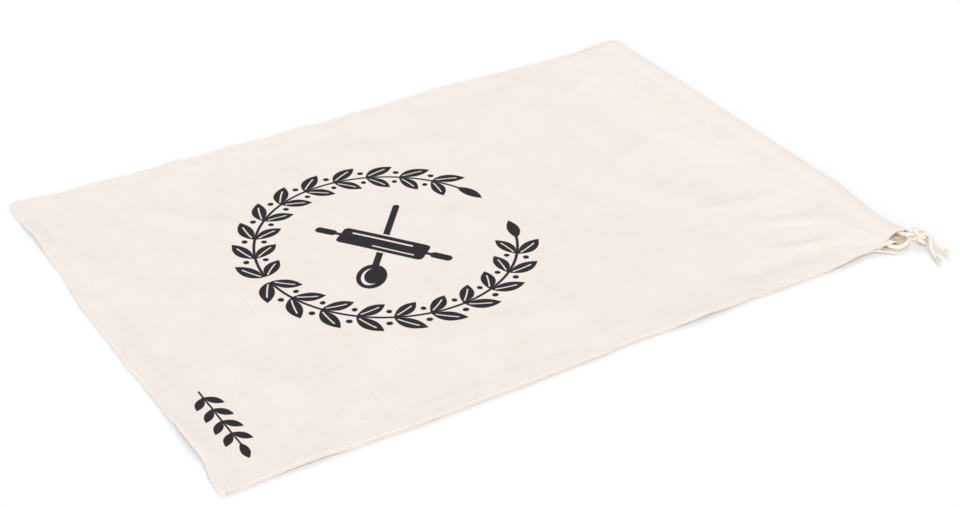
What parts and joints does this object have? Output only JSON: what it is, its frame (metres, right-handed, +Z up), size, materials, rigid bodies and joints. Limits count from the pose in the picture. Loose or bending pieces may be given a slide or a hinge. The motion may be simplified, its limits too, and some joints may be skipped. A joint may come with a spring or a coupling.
{
  "type": "bread bag",
  "caption": "Flat rectangular linen bag for bread, with a drawstring running through casings at the mouth and knotted at one corner.",
  "frame": {"origin": "on the surface that the bag lies on, under the middle of the bag", "axes": "+X across the bag towards the side where the drawstring comes out, +Y from the bottom seam towards the mouth, +Z up, square to the lying cloth"},
  "size_m": [0.3299, 0.4516, 0.0102],
  "materials": {
    "front_cloth": "plain weave linen, unbleached off-white",
    "back_cloth": "plain weave linen, unbleached off-white",
    "cotton_cord": "twisted cotton cord, cream"
  },
  "bodies": {
    "root": {"front_panel": "front_cloth", "back_panel": "back_cloth", "drawstring": "cotton_cord"}
  },
  "joints": []
}
